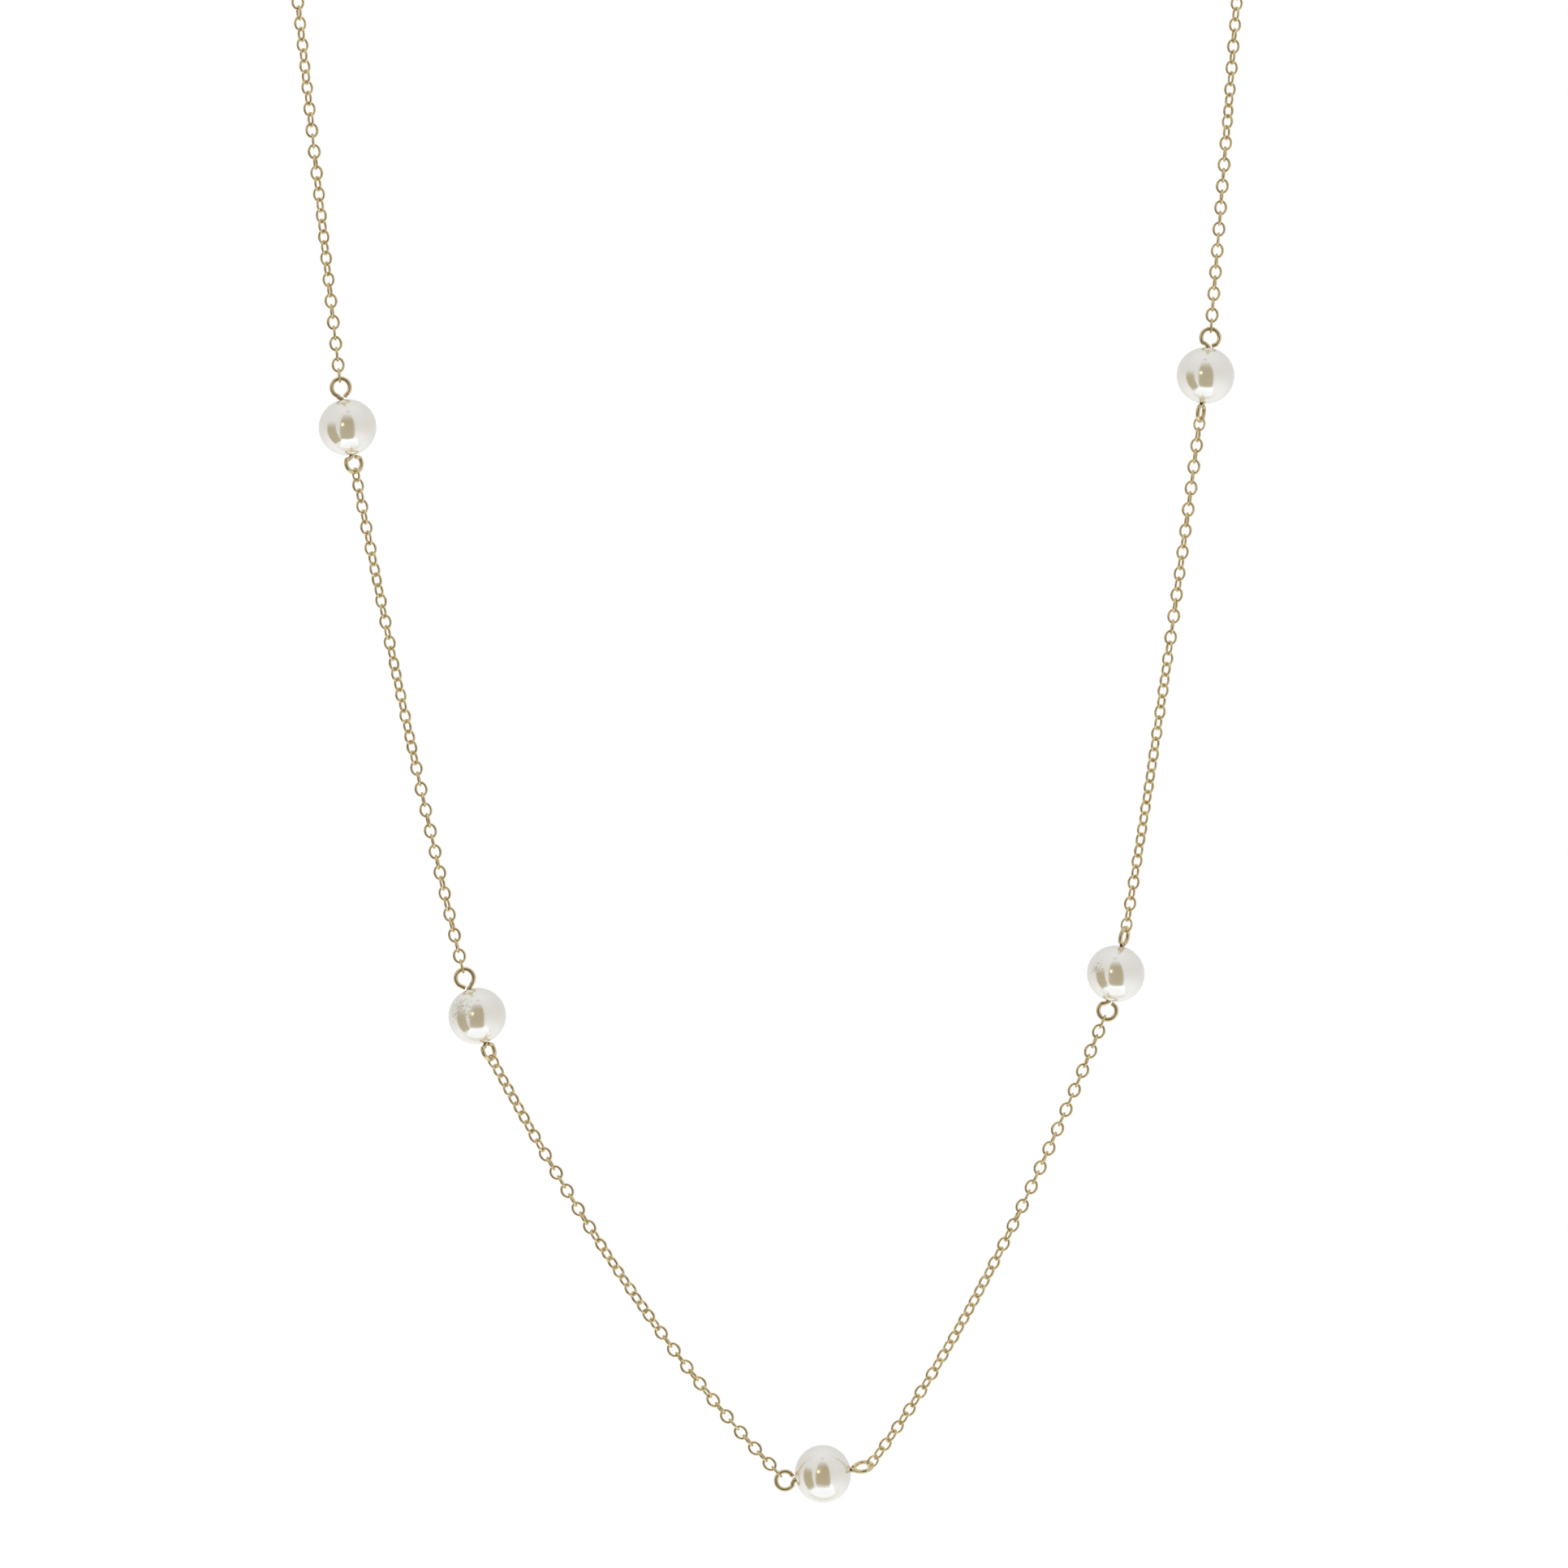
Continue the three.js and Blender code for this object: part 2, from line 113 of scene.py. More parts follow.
# ---- Clasp and tag, in millimetres: X from the outside of the clasp's tail ring, Z up ----
EYE = {"centre": (1.3, 0), "radius": 1.3, "hole": 0.6, "thickness": 0.9, "edge": 0.2}
HOOK = {"centre": (8.0, 0), "outer": 2.1, "inner": 1.2, "thickness": 2.0, "edge": 0.22}
LEVER_SLOT = ((2.95, 5.35), (-0.75, 0.75), (-0.25, 3.75))
LEVER = {"thickness": 0.8, "edge": 0.14, "middle": -0.25}
RIVET = {"centre": (4.0, 0.9), "radius": 0.38}
COIL = {"radius": 0.55, "wire": 0.16, "turns": 1.5, "pitch": 0.2, "start": 0.34}
TAG = {"height": 6.4, "shoulder": 1.1, "foot": 1.9, "hole": 0.6, "thickness": 0.5, "edge": 0.16}
CUTTER_LENGTH = 3

# ---- Camera: level, square to the front, far enough away to look nearly flat ----
VIEW_WIDTH = 163.3 * MM
TOP_EDGE = -16.0 * MM
VIEW_MIDDLE = 2.0 * MM
CAMERA_DISTANCE = 0.80
SENSOR = 36.0
# What the lights and cards are aimed at
SUBJECT = Vector((0, 0, TOP_EDGE - VIEW_WIDTH / 2))

# ---- Stage ----
FLOOR_DROP = 0.28
FLOOR_SIZE = 0.66
FLOOR_SOLID = 0.12
PALE = (0.86, 0.86, 0.85)
TAUPE = (0.11, 0.09, 0.055)
GREY = (0.3, 0.31, 0.32)
# The white tent's brightness, from straight below (0) to straight above (1)
TENT = ((0.0, 1.15), (0.20, 1.05), (0.42, 0.84), (0.60, 0.78), (0.85, 0.86), (1.0, 0.98))


def add_camera():
    """The photograph's view."""
    data = bpy.data.cameras.new("camera")
    data.sensor_width = SENSOR
    data.lens = SENSOR * CAMERA_DISTANCE / VIEW_WIDTH
    data.clip_start, data.clip_end = 0.01, 50
    camera = bpy.data.objects.new("camera", data)
    camera.location = SUBJECT + Vector((VIEW_MIDDLE, -CAMERA_DISTANCE, 0))
    camera.rotation_euler = (math.pi / 2, 0, 0)
    bpy.context.scene.collection.objects.link(camera)
    bpy.context.scene.camera = camera


add_camera()


# ---- Materials ----
def fill_ramp(node, stops):
    """Gives a colour ramp its stops, each a position and a colour."""
    elements = node.color_ramp.elements
    while len(elements) < len(stops):
        elements.new(0.5)
    for element, (position, colour) in zip(elements, stops):
        element.position = position
        element.color = (*colour, 1)


def mix_colours(tree, factor, first, second):
    """The first colour where the factor is 0, the second, which is fixed, where it is 1."""
    mix = tree.nodes.new("ShaderNodeMix")
    mix.data_type = "RGBA"
    colours = {socket.name: socket for socket in mix.inputs if socket.type == "RGBA"}
    colours["B"].default_value = (*second, 1)
    tree.links.new(factor, mix.inputs["Factor"])
    tree.links.new(first, colours["A"])
    return next(socket for socket in mix.outputs if socket.type == "RGBA")


class Nodes:
    """A material's node tree, with short calls for the few node types used here."""

    def __init__(self, name):
        self.material = bpy.data.materials.new(name)
        self.material.use_nodes = True
        self.tree = self.material.node_tree
        self.shader = self.tree.nodes["Principled BSDF"]
        self.place = self.add("ShaderNodeTexCoord").outputs["Object"]

    def add(self, kind, **values):
        node = self.tree.nodes.new(kind)
        for key, value in values.items():
            setattr(node, key, value)
        return node

    def link(self, output, target):
        self.tree.links.new(output, target)

    def set(self, **values):
        for key, value in values.items():
            self.shader.inputs[key.replace("_", " ")].default_value = value

    def noise(self, size, detail=3.0):
        """Noise from 0 to 1 with features about that size, in metres."""
        noise = self.add("ShaderNodeTexNoise")
        noise.inputs["Scale"].default_value = 1 / size
        noise.inputs["Detail"].default_value = detail
        self.link(self.place, noise.inputs["Vector"])
        return noise.outputs["Fac"]

    def ramp(self, factor, *stops):
        ramp = self.add("ShaderNodeValToRGB")
        fill_ramp(ramp, stops)
        self.link(factor, ramp.inputs["Fac"])
        return ramp.outputs["Color"]

    def spread(self, value, start, end, low=0.0, high=1.0, **values):
        """The value from start to end, spread over low to high and held there."""
        node = self.add("ShaderNodeMapRange", **values)
        ends = {"From Min": start, "From Max": end, "To Min": low, "To Max": high}
        for name, number in ends.items():
            node.inputs[name].default_value = number
        self.link(value, node.inputs["Value"])
        return node.outputs["Result"]

    def span(self, noise, low, high):
        """The middle of a noise's range, where most of it lies, spread over low to high."""
        return self.spread(noise, 0.3, 0.7, low, high)

    def scaled(self, value, factor, offset):
        """value times factor, plus an offset that is a number or another value."""
        node = self.add("ShaderNodeMath", operation="MULTIPLY_ADD")
        node.inputs[1].default_value = factor
        self.link(value, node.inputs[0])
        if isinstance(offset, (int, float)):
            node.inputs[2].default_value = offset
        else:
            self.link(offset, node.inputs[2])
        return node.outputs["Value"]

    def distance(self, point=(0, 0, 0)):
        """How far the surface is from a point in the object's frame."""
        node = self.add("ShaderNodeVectorMath", operation="DISTANCE")
        node.inputs[1].default_value = point
        self.link(self.place, node.inputs[0])
        return node.outputs["Value"]

    def pale_above(self, colour, start):
        """On a flat card, the colour pales from that share of its height up to its top."""
        split = self.add("ShaderNodeSeparateXYZ")
        self.link(self.add("ShaderNodeTexCoord").outputs["Generated"], split.inputs["Vector"])
        rise = self.spread(split.outputs["Y"], start, 1)
        return mix_colours(self.tree, rise, colour, PALE)

    def speckles(self, point, radius, size):
        """1 on specks of about that size round a point, fewer towards the radius, and 0 elsewhere."""
        # The noise lies round 0.5: near the point most of it tops 0.57 with this added, far off none
        density = self.scaled(self.distance(point), -0.26 / radius, 0.20)
        total = self.scaled(self.noise(size, 2), 1, density)
        return self.spread(total, 0.57, 0.65)

    def bump(self, height, distance, strength):
        bump = self.add("ShaderNodeBump")
        bump.inputs["Distance"].default_value = distance
        bump.inputs["Strength"].default_value = strength
        self.link(height, bump.inputs["Height"])
        self.link(bump.outputs["Normal"], self.shader.inputs["Normal"])


def gold_material(name, light, dark, rough, patch=0.9 * MM):
    """Gold plate: its colour drifts a little between light and dark, with rubbed and dull patches."""
    nodes = Nodes(name)
    nodes.set(Metallic=1.0)
    colour = nodes.ramp(nodes.noise(patch), (0.32, dark), (0.62, light))
    nodes.link(colour, nodes.shader.inputs["Base Color"])
    rub = nodes.span(nodes.noise(0.35 * MM, 4), *rough)
    nodes.link(rub, nodes.shader.inputs["Roughness"])
    nodes.bump(nodes.noise(0.12 * MM, 2), 0.01 * MM, 0.25)
    return nodes.material


def pearl_material(name, worn=None):
    """Imitation pearl: ivory body under a strong, smooth, faintly blue lustre. worn is a point in the
    object's frame, and a radius round it where the lacquer has come off in specks."""
    nodes = Nodes(name)
    nodes.set(IOR=6.4, Coat_Weight=1.0, Coat_Roughness=0.1, Coat_IOR=1.4)
    nodes.set(Specular_Tint=(0.72, 0.82, 1.0, 1))
    body = nodes.ramp(
        nodes.noise(2.6 * MM, 2),
        (0.30, (0.92, 0.76, 0.44)), (0.50, (0.94, 0.79, 0.48)), (0.70, (0.93, 0.81, 0.52)),
    )
    lustre = nodes.span(nodes.noise(1.1 * MM, 3), 0.13, 0.2)
    if worn:
        bare = nodes.speckles(*worn, WORN_SPECK)
        body = mix_colours(nodes.tree, bare, body, (0.58, 0.46, 0.09))
        lustre = nodes.scaled(bare, 0.55, lustre)
    nodes.link(body, nodes.shader.inputs["Base Color"])
    nodes.link(lustre, nodes.shader.inputs["Roughness"])
    nodes.bump(nodes.noise(0.7 * MM, 4), 0.02 * MM, 0.12)
    return nodes.material


def steel_material():
    """Plain spring steel, a little uneven."""
    nodes = Nodes("spring_steel")
    nodes.set(Metallic=1.0)
    colour = nodes.ramp(nodes.noise(0.3 * MM), (0.35, (0.50, 0.50, 0.49)), (0.65, (0.66, 0.66, 0.64)))
    nodes.link(colour, nodes.shader.inputs["Base Color"])
    nodes.link(nodes.span(nodes.noise(0.1 * MM), 0.25, 0.4), nodes.shader.inputs["Roughness"])
    return nodes.material


def floor_material():
    """Pale paper that fades out towards its edges."""
    nodes = Nodes("floor_paper")
    colour = nodes.ramp(nodes.noise(0.02), (0.3, PALE), (0.7, (0.90, 0.90, 0.89)))
    nodes.link(colour, nodes.shader.inputs["Base Color"])
    nodes.set(Roughness=0.8)
    reach = FLOOR_SIZE / 2
    fade = nodes.spread(nodes.distance(), FLOOR_SOLID, reach, 1, 0, interpolation_type="SMOOTHSTEP")
    nodes.link(fade, nodes.shader.inputs["Alpha"])
    return nodes.material


CHAIN_GOLD = gold_material("chain_gold", (0.75, 0.62, 0.35), (0.63, 0.50, 0.26), (0.16, 0.3))
PIN_GOLD = gold_material("pin_gold", (0.75, 0.63, 0.38), (0.61, 0.50, 0.295), (0.2, 0.34))
CLASP_GOLD = gold_material("clasp_gold", (0.80, 0.66, 0.37), (0.70, 0.56, 0.30), (0.14, 0.26), 2.2 * MM)
PEARL = pearl_material("pearl_lustre")
STEEL = steel_material()


# ---- Mesh helpers ----
def unit(vector):
    return vector / np.linalg.norm(vector)


class Shell:
    """Vertices and faces that grow into one mesh."""

    def __init__(self):
        self.points, self.faces = [], []

    def rings(self, rings, closed):
        """Skins a row of equal rings of points. A closed row joins its end to its start, and an open
        one has both its ends capped."""
        first, size, count = len(self.points), len(rings[0]), len(rings)
        for ring in rings:
            self.points.extend(ring)
        for i in range(count if closed else count - 1):
            a, b = first + i * size, first + (i + 1) % count * size
            for j in range(size):
                k = (j + 1) % size
                self.faces.append((a + j, a + k, b + k, b + j))
        if not closed:
            last = first + (count - 1) * size
            self.faces.append(tuple(first + j for j in reversed(range(size))))
            self.faces.append(tuple(last + j for j in range(size)))

    def tube(self, path, radius, sides=10, closed=False, hint=None):
        """A wire along a path. radius is a number, or one number for each point."""
        path = np.asarray(path, float)
        count = len(path)
        radii = np.broadcast_to(radius, (count,))
        if closed:
            tangents = np.roll(path, -1, 0) - np.roll(path, 1, 0)
        else:
            tangents = np.gradient(path, axis=0)
        tangents /= np.linalg.norm(tangents, axis=1)[:, None]
        side = np.cross(tangents[0], hint if hint is not None else (0.3, 0.5, 0.81))
        angles = np.linspace(0, 2 * np.pi, sides, endpoint=False)
        rings = []
        for point, tangent, r in zip(path, tangents, radii):
            side = unit(side - tangent * (side @ tangent))
            other = np.cross(tangent, side)
            rings.append([point + r * (math.cos(a) * side + math.sin(a) * other) for a in angles])
        self.rings(rings, closed)

    def piece(self, name, material):
        """The finished mesh as an object, smooth and with its faces turned outwards."""
        mesh = bpy.data.meshes.new(name)
        mesh.from_pydata([tuple(p) for p in self.points], [], self.faces)
        mesh.validate()
        solid = bmesh.new()
        solid.from_mesh(mesh)
        bmesh.ops.recalc_face_normals(solid, faces=solid.faces)
        solid.to_mesh(mesh)
        solid.free()
        mesh.polygons.foreach_set("use_smooth", [True] * len(mesh.polygons))
        mesh.materials.append(material)
        piece = bpy.data.objects.new(name, mesh)
        bpy.context.scene.collection.objects.link(piece)
        return piece


def settle(piece, body, slot, *nodes):
    """Names what a finished piece rides on and the CAD nodes it stands for. slot, the finish it takes, is not
    used.
    """
    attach(piece, body)
    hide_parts(*nodes)


def node_points(node):
    """The vertices of a CAD node, which are where it is, as rows."""
    mesh = frame["nodes"][node].data
    points = np.empty(len(mesh.vertices) * 3)
    mesh.vertices.foreach_get("co", points)
    return points.reshape(-1, 3)


def ring_frame(points):
    """(centre, long direction, direction square to the ring) of a flat ring's points."""
    directions = np.linalg.svd(points - points.mean(0), full_matrices=False)[2]
    spread = (points - points.mean(0)) @ directions.T
    centre = points.mean(0) + ((spread.max(0) + spread.min(0)) / 2) @ directions
    return centre, directions[0], directions[2]


# ---- Chain ----
def oval(centre, direction, normal, size, angles):
    """The middle of a link's wire at these angles round it, from the middle of one long side."""
    side = np.cross(direction, normal)
    half_length = (size["length"] - size["wire"]) / 2
    half_width = (size["width"] - size["wire"]) / 2
    return [
        centre + half_width * math.cos(a) * side + half_length * math.sin(a) * direction for a in angles
    ]


def add_link(shell, centre, direction, normal, size, around=18, sides=8, seam=0.0, phase=0.0, thick=1.0):
    """One oval link. seam thickens the wire where its ends are soldered, on one of its long sides."""
    angles = phase + np.linspace(0, 2 * np.pi, around, endpoint=False)
    path = oval(centre, direction, normal, size, angles)
    swell = [1 + seam * math.exp(-((math.cos(a) - 1) / 0.05) ** 2) for a in angles]
    shell.tube(path, np.array(swell) * thick * size["wire"] / 2, sides, closed=True, hint=normal)


def at_lengths(path, wanted):
    """Points and directions at these distances along a fine path."""
    steps = np.linalg.norm(np.diff(path, axis=0), axis=1)
    run = np.concatenate([[0], np.cumsum(steps)])
    points = np.stack([np.interp(wanted, run, path[:, k]) for k in range(3)], 1)
    reach = 0.4 * MM
    ahead = np.stack([np.interp(np.add(wanted, reach), run, path[:, k]) for k in range(3)], 1)
    behind = np.stack([np.interp(np.subtract(wanted, reach), run, path[:, k]) for k in range(3)], 1)
    return points, ahead - behind


def length_of(path):
    return float(np.linalg.norm(np.diff(path, axis=0), axis=1).sum())


def chain_piece(name, first, last, middle, twist, seed):
    """Links from the first CAD link to the last, along a fine path between them."""
    rng = random.Random(seed)
    (start, _, start_normal), (end, _, end_normal) = first, last
    path = np.vstack([[start], middle, [end]])
    pitch = LINK["length"] - 2 * LINK["wire"] - LINK_PLAY
    total = length_of(path)
    count = round(total / pitch)
    points, ways = at_lengths(path, np.linspace(0, total, count + 1))
    ways = [unit(w) for w in ways]
    normals = [unit(start_normal - ways[0] * (start_normal @ ways[0]))]
    for way in ways[1:]:
        carried = normals[-1] - way * (normals[-1] @ way)
        normals.append(unit(carried))

    def turned(i, angle):
        across = np.cross(ways[i], normals[i])
        return math.cos(angle) * normals[i] + math.sin(angle) * across

    # The least twist along the strand that lets its last link lie as the CAD's does
    goal = math.atan2(end_normal @ np.cross(ways[-1], normals[-1]), end_normal @ normals[-1])
    extra = (goal - count * math.pi / 2 + math.pi / 2) % math.pi - math.pi / 2
    swing, waves, offset = twist
    shell = Shell()
    for i in range(count + 1):
        t = i / count
        away = math.sin(math.pi * t)
        wave = math.radians(swing) * math.sin(2 * math.pi * waves * t + offset) * away ** 0.7
        loose = math.radians(4) * rng.uniform(-1, 1) * away
        normal = turned(i, i * math.pi / 2 + extra * t * t * (3 - 2 * t) + wave + loose)
        seam_side = 0.0 if rng.random() < 0.5 else math.pi
        add_link(
            shell, points[i], ways[i], normal, LINK, seam=SOLDER_SWELL, phase=seam_side,
            thick=END_LINK_THINNED if i in (0, count) else 1.0,
        )
    return shell.piece(name, CHAIN_GOLD)


def hanging_path(start, end, sag):
    """A fine path that sags below the straight line as a parabola does."""
    t = np.linspace(0, 1, 160)[:, None]
    path = start + (end - start) * t
    path[:, 2] -= (4 * sag * t * (1 - t))[:, 0]
    return path


def far_end(link, towards):
    """The middle of the wire at the end of a link that is nearer to a point."""
    centre, direction, _ = link
    half = (LINK["length"] - LINK["wire"]) / 2
    sign = 1 if (towards - centre) @ direction > 0 else -1
    return centre + sign * half * direction


def front_chains():
    """Each front strand, from the wire of its first link to the wire of its last one."""
    for i, (strand, sag) in enumerate(SAGS.items()):
        nodes = [f"{strand}_{part}" for part in ("first_link", "strand", "last_link")]
        first, last = ring_frame(node_points(nodes[0])), ring_frame(node_points(nodes[2]))
        middle = hanging_path(far_end(first, last[0]), far_end(last, first[0]), sag * MM)
        piece = chain_piece(f"{strand}_links", first, last, middle, TWISTS[strand], 11 + i)
        settle(piece, f"{strand}_chain", "chain", *nodes)


def smooth_route(points, steps=24):
    """A centripetal Catmull-Rom curve through the points."""
    p = np.asarray(points, float)
    p = np.vstack([2 * p[0] - p[1], p, 2 * p[-1] - p[-2]])
    out = []
    for i in range(1, len(p) - 2):
        a, b, c, d = p[i - 1 : i + 3]
        knots = np.cumsum([0] + [np.linalg.norm(q - r) ** 0.5 for q, r in ((b, a), (c, b), (d, c))])
        for t in np.linspace(knots[1], knots[2], steps, endpoint=False):
            ab = (a * (knots[1] - t) + b * (t - knots[0])) / (knots[1] - knots[0])
            bc = (b * (knots[2] - t) + c * (t - knots[1])) / (knots[2] - knots[1])
            cd = (c * (knots[3] - t) + d * (t - knots[2])) / (knots[3] - knots[2])
            abc = (ab * (knots[2] - t) + bc * (t - knots[0])) / (knots[2] - knots[0])
            bcd = (bc * (knots[3] - t) + cd * (t - knots[1])) / (knots[3] - knots[1])
            out.append((abc * (knots[2] - t) + bcd * (t - knots[1])) / (knots[2] - knots[1]))
    out.append(p[-2])
    return np.array(out)


def neck_chains():
    """The chain from each shoulder round to the clasp, on the part of its route between its end links."""
    for i, side in enumerate(("left", "right")):
        sign = 1 if side == "left" else -1
        route = smooth_route([(sign * x * MM, y * MM, z * MM) for x, y, z in NECK_ROUTE])
        strands = [f"{side}_neck_strand_{k}" for k in (1, 2, 3)]
        nodes = [f"{side}_neck_first_link", *strands, f"{side}_end_link"]
        first, last = ring_frame(node_points(nodes[0])), ring_frame(node_points(nodes[-1]))
        # Points of the route a little way in tell which end of a link the chain leaves it by
        start, end = far_end(first, route[8]), far_end(last, route[-8])
        clear = np.linalg.norm(route - start, axis=1) > 0.4 * MM
        clear &= route[:, 2] > start[2]
        middle = np.vstack([[start], route[clear], [end]])
        twist = TWISTS[f"{side}_neck"]
        piece = chain_piece(f"{side}_neck_links", first, last, middle, twist, 31 + i)
        settle(piece, "neck", "chain", *nodes)


# ---- Pearls and pins ----
def joint(name):
    """The CAD joint of that name, with its pos_m and axis."""
    return next(j for j in frame["joints"] if j["name"] == name)


def pearl_piece(station):
    """A bead turned about its hole: a drilled sphere with slightly rounded mouths."""
    spin = joint(f"{station}_pearl_spin")
    centre, axis = np.array(spin["pos_m"]), unit(np.array(spin["axis"]))
    across = unit(np.cross(axis, (0, 1, 0)))
    other = np.cross(axis, across)
    hole, lip = PEARL_HOLE / 2, PEARL_LIP
    mouth = math.asin((hole + lip) / (PEARL_ACROSS / 2))
    profile = []
    for a in np.linspace(mouth, math.pi - mouth, 49):
        profile.append((PEARL_ACROSS / 2 * math.sin(a), PEARL_ALONG / 2 * math.cos(a)))
    depth = PEARL_ALONG / 2 * math.cos(mouth)
    profile += [(hole + lip * 0.3, -depth + lip * 0.4), (hole, -depth + lip * 1.6), (hole, 0)]
    profile += [(hole, depth - lip * 1.6), (hole + lip * 0.3, depth - lip * 0.4)]
    rng = random.Random(sum(map(ord, station)))
    waves = [(rng.uniform(0, 6.28), rng.uniform(0, 6.28)) for _ in range(3)]
    rings = []
    for b in np.linspace(0, 2 * np.pi, 72, endpoint=False):
        ring = []
        for r, z in profile:
            unevenness = sum(
                math.sin((k + 2) * b + p) * math.sin((k + 1) * 3 * z / PEARL_ALONG + q)
                for k, (p, q) in enumerate(waves)
            )
            r = r * (1 + PEARL_UNEVENNESS * unevenness)
            ring.append(centre + axis * z + r * (math.cos(b) * across + math.sin(b) * other))
        rings.append(ring)
    shell = Shell()
    shell.rings(rings, closed=True)
    paint = PEARL
    if station in WORN_SPOTS:
        offset, radius = WORN_SPOTS[station]
        paint = pearl_material(f"pearl_{station}_worn", (centre + np.array(offset) * MM, radius * MM))
    piece = shell.piece(f"{station}_pearl_bead", paint)
    settle(piece, f"{station}_pearl", "pearl", f"{station}_pearl")


def loop_path(centre, inward, side, reach):
    """A loop from its cut end round to where the wire bends into the hole."""
    mouth = reach - PEARL_ALONG / 2 - 0.03 * MM
    opening = math.acos(min(0.9, (mouth - 0.4 * MM) / LOOP_RADIUS))
    across = [0.27 * MM]
    near = [mouth - 0.18 * MM]
    for angle in np.linspace(opening, 2 * math.pi - opening, 32):
        across.append(LOOP_RADIUS * math.sin(angle))
        near.append(LOOP_RADIUS * math.cos(angle))
    across += [-0.45 * MM, -0.12 * MM, -0.02 * MM]
    near += [mouth - 0.33 * MM, mouth - 0.08 * MM, mouth + 0.07 * MM]
    return [centre + a * side + n * inward for a, n in zip(across, near)]


def pin_piece(station, reach, turns):
    """Wire through the pearl with a hand-bent loop at each end."""
    spin = joint(f"{station}_pearl_spin")
    centre, down = np.array(spin["pos_m"]), unit(np.array(spin["axis"]))
    face = np.array((-down[2], 0, down[0]))
    halves = []
    for sign, out, turn in zip((-1, 1), reach, np.radians(turns)):
        side = math.cos(turn) * face + math.sin(turn) * np.array((0, 1, 0))
        halves.append(loop_path(centre + sign * out * MM * down, -sign * down, side, out * MM))
    stem = [centre + z * MM * down for z in (-2.4, -1.2, 0, 1.2, 2.4)]
    guide = smooth_route([*halves[0], *stem, *reversed(halves[1])], 4)
    ends = np.minimum(np.arange(len(guide)), np.arange(len(guide))[::-1])
    cut = np.where(ends == 0, PIN_END_TAPER, 1.0)
    shell = Shell()
    shell.tube(guide, PIN_THINNED * PIN_WIRE / 2 * cut, 16)
    piece = shell.piece(f"{station}_eye_pin", PIN_GOLD)
    settle(piece, f"{station}_pin", "pin_wire", f"{station}_pin")


# ---- Rings, extension chain and clasp ----
def ring_piece(node, body, slit=0.0, seam=0.0):
    """A smooth ring in place of a CAD ring. slit is the opening of a cut ring, in radians."""
    points = node_points(node)
    centre, direction, normal = ring_frame(points)
    ways = {"length": direction, "width": np.cross(direction, normal), "wire": normal}
    size = {name: float(np.ptp((points - centre) @ way)) for name, way in ways.items()}
    shell = Shell()
    if slit:
        angles = np.linspace(slit / 2, 2 * np.pi - slit / 2, 60)
        path = oval(centre, direction, normal, size, angles)
        shell.tube(path, size["wire"] / 2, 14, hint=normal)
    else:
        add_link(shell, centre, direction, normal, size, 40, 14, seam)
    piece = shell.piece(f"{node}_ring", CLASP_GOLD)
    settle(piece, body, "clasp_metal", node)


def arc(x, y, radius, start, end, steps=24):
    """Points round a centre, from one angle to another, in degrees."""
    angles = np.radians(np.linspace(start, end, steps))
    return [(x + radius * math.cos(a), y + radius * math.sin(a)) for a in angles]


def bend(start, pull, end, steps=12):
    """A quadratic curve, without its first point."""
    t = np.linspace(0, 1, steps + 1)[1:, None]
    start, pull, end = map(np.array, (start, pull, end))
    return [tuple(p) for p in (1 - t) ** 2 * start + 2 * t * (1 - t) * pull + t * t * end]


def circle(centre, radius, steps=36):
    """The points of a whole circle, for a closed outline."""
    return arc(*centre, radius, 0, 360 - 360 / steps, steps)


def rounded_plate(outline, hole, thickness, edge, middle=0.0):
    """An object in millimetres: an outline in X and Z, as thick along Y, with rounded edges. hole is
    the outline of a hole through it, or None."""
    curve = bpy.data.curves.new("outline", "CURVE")
    curve.dimensions = "2D"
    curve.fill_mode = "BOTH"
    curve.extrude = thickness / 2 - edge
    curve.bevel_depth = edge
    curve.offset = -edge
    curve.bevel_resolution = 3
    for loop in (outline, hole) if hole else (outline,):
        spline = curve.splines.new("POLY")
        spline.points.add(len(loop) - 1)
        for point, (x, z) in zip(spline.points, loop):
            point.co = (x, z, 0, 1)
        spline.use_cyclic_u = True
    holder = bpy.data.objects.new("outline", curve)
    bpy.context.scene.collection.objects.link(holder)
    mesh = bpy.data.meshes.new_from_object(holder)
    bpy.data.objects.remove(holder)
    mesh.transform(Matrix.Rotation(math.pi / 2, 4, "X"))
    mesh.transform(Matrix.Translation((0, middle, 0)))
    plate = bpy.data.objects.new("plate", mesh)
    bpy.context.scene.collection.objects.link(plate)
    return plate


def rod(centre, radius):
    """A cutter along Y, in millimetres."""
    shell = Shell()
    rim = circle(centre, radius, 48)
    ends = (-CUTTER_LENGTH / 2, CUTTER_LENGTH / 2)
    shell.rings([[(x, y, z) for x, z in rim] for y in ends], closed=False)
    return shell.piece("rod", CLASP_GOLD)


def box(x, y, z):
    """A cutter in the shape of a box, between these ends in millimetres."""
    shell = Shell()
    corners = ((x[0], y[0]), (x[1], y[0]), (x[1], y[1]), (x[0], y[1]))
    shell.rings([[(px, py, pz) for px, py in corners] for pz in z], closed=False)
    return shell.piece("box", CLASP_GOLD)


def combine(base, operation, tool):
    """The base with the tool joined or cut away. Both are used up."""
    modifier = base.modifiers.new("combine", "BOOLEAN")
    modifier.operation = operation
    modifier.solver = "EXACT"
    modifier.object = tool
    mesh = bpy.data.meshes.new_from_object(base.evaluated_get(bpy.context.evaluated_depsgraph_get()))
    bpy.data.objects.remove(base)
    bpy.data.objects.remove(tool)
    result = bpy.data.objects.new("solid", mesh)
    bpy.context.scene.collection.objects.link(result)
    return result


